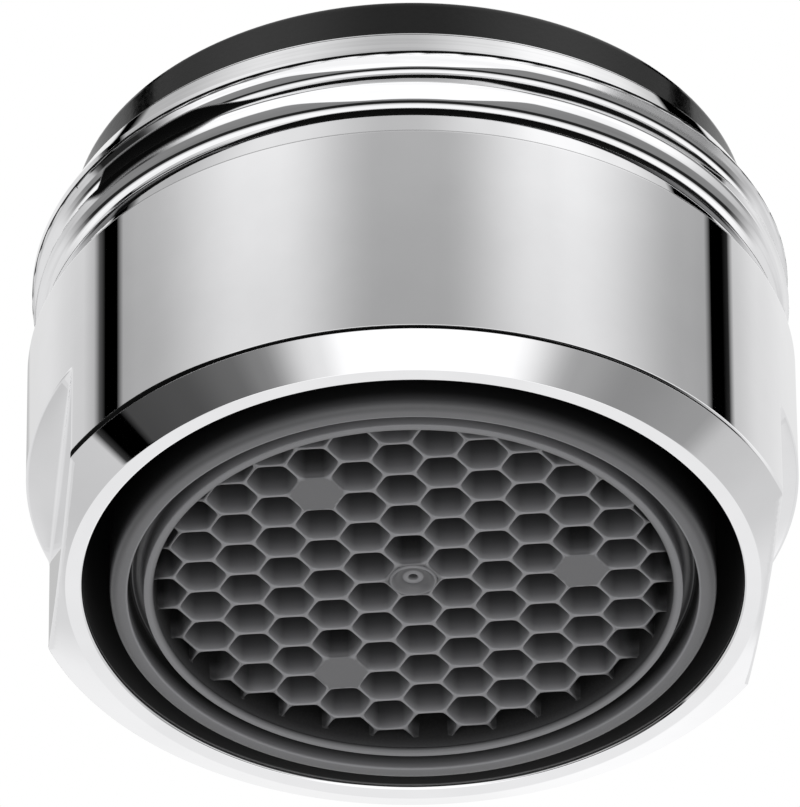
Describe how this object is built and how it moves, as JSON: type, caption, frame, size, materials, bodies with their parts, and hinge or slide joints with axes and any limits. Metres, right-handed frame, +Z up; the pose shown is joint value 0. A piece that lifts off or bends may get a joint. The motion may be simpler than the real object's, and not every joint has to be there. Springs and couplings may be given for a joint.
{
  "type": "tap aerator",
  "caption": "Chrome-plated tap aerator with an outside thread, a skirt with spanner flats, a rubber sealing washer and a dark moulded honeycomb outlet that straightens the stream.",
  "frame": {"origin": "on the axis, at the lowest ring, the rim of the outlet sleeve", "axes": "+Z up along the axis towards the thread, as the aerator sits in a spout; the spanner flats face +X and -X"},
  "size_m": [0.0242, 0.0242, 0.0151],
  "materials": {
    "plated_brass": "polished chrome plating on brass",
    "washer_rubber": "matt black rubber",
    "outlet_plastic": "satin dark grey moulding",
    "grid_plastic": "satin grey moulding",
    "plate_plastic": "satin grey moulding",
    "filter_plastic": "satin dark grey moulding"
  },
  "bodies": {
    "root": {"housing": "plated_brass", "sealing_washer": "washer_rubber", "outlet_sleeve": "outlet_plastic", "mixing_grid": "grid_plastic", "jet_plate": "plate_plastic", "filter_crown": "filter_plastic"}
  },
  "joints": []
}
